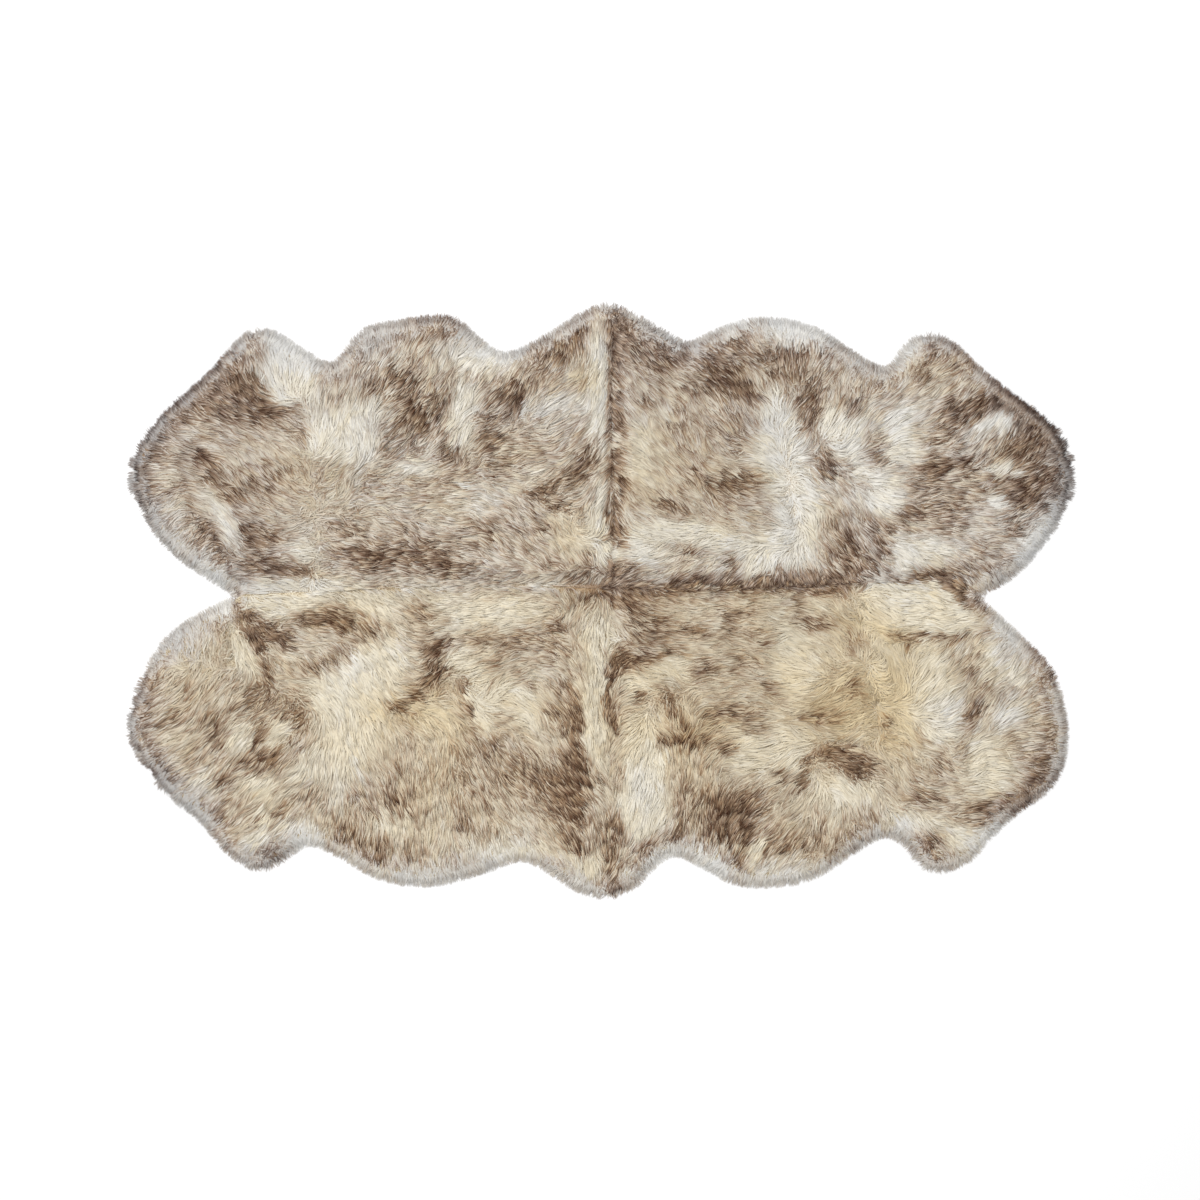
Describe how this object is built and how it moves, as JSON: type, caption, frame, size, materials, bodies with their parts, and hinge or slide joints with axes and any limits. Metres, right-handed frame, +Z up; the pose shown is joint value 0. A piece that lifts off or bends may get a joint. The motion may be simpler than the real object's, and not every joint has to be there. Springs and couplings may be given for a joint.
{
  "type": "sheepskin rug of sewn pelts",
  "caption": "Long-wool sheepskin floor rug of pelts sewn edge to edge, lying flat wool side up, with a lobed natural outline and cream wool tipped brown.",
  "frame": {"origin": "middle of the rug's footprint, on the floor under it", "axes": "+X along the rug's length, +Y across it towards the back pelts, +Z up out of the wool"},
  "size_m": [1.7942, 1.1308, 0.065],
  "materials": {
    "wool": "long dense combed wool, cream at the root and brown at the tip",
    "leather": "matt suede flesh side of a tanned sheepskin"
  },
  "bodies": {
    "root": {"hide_back_left": "leather", "hide_back_right": "leather", "hide_front_left": "leather", "hide_front_right": "leather", "fleece_back_left": "wool", "fleece_back_right": "wool", "fleece_front_left": "wool", "fleece_front_right": "wool"}
  },
  "joints": []
}
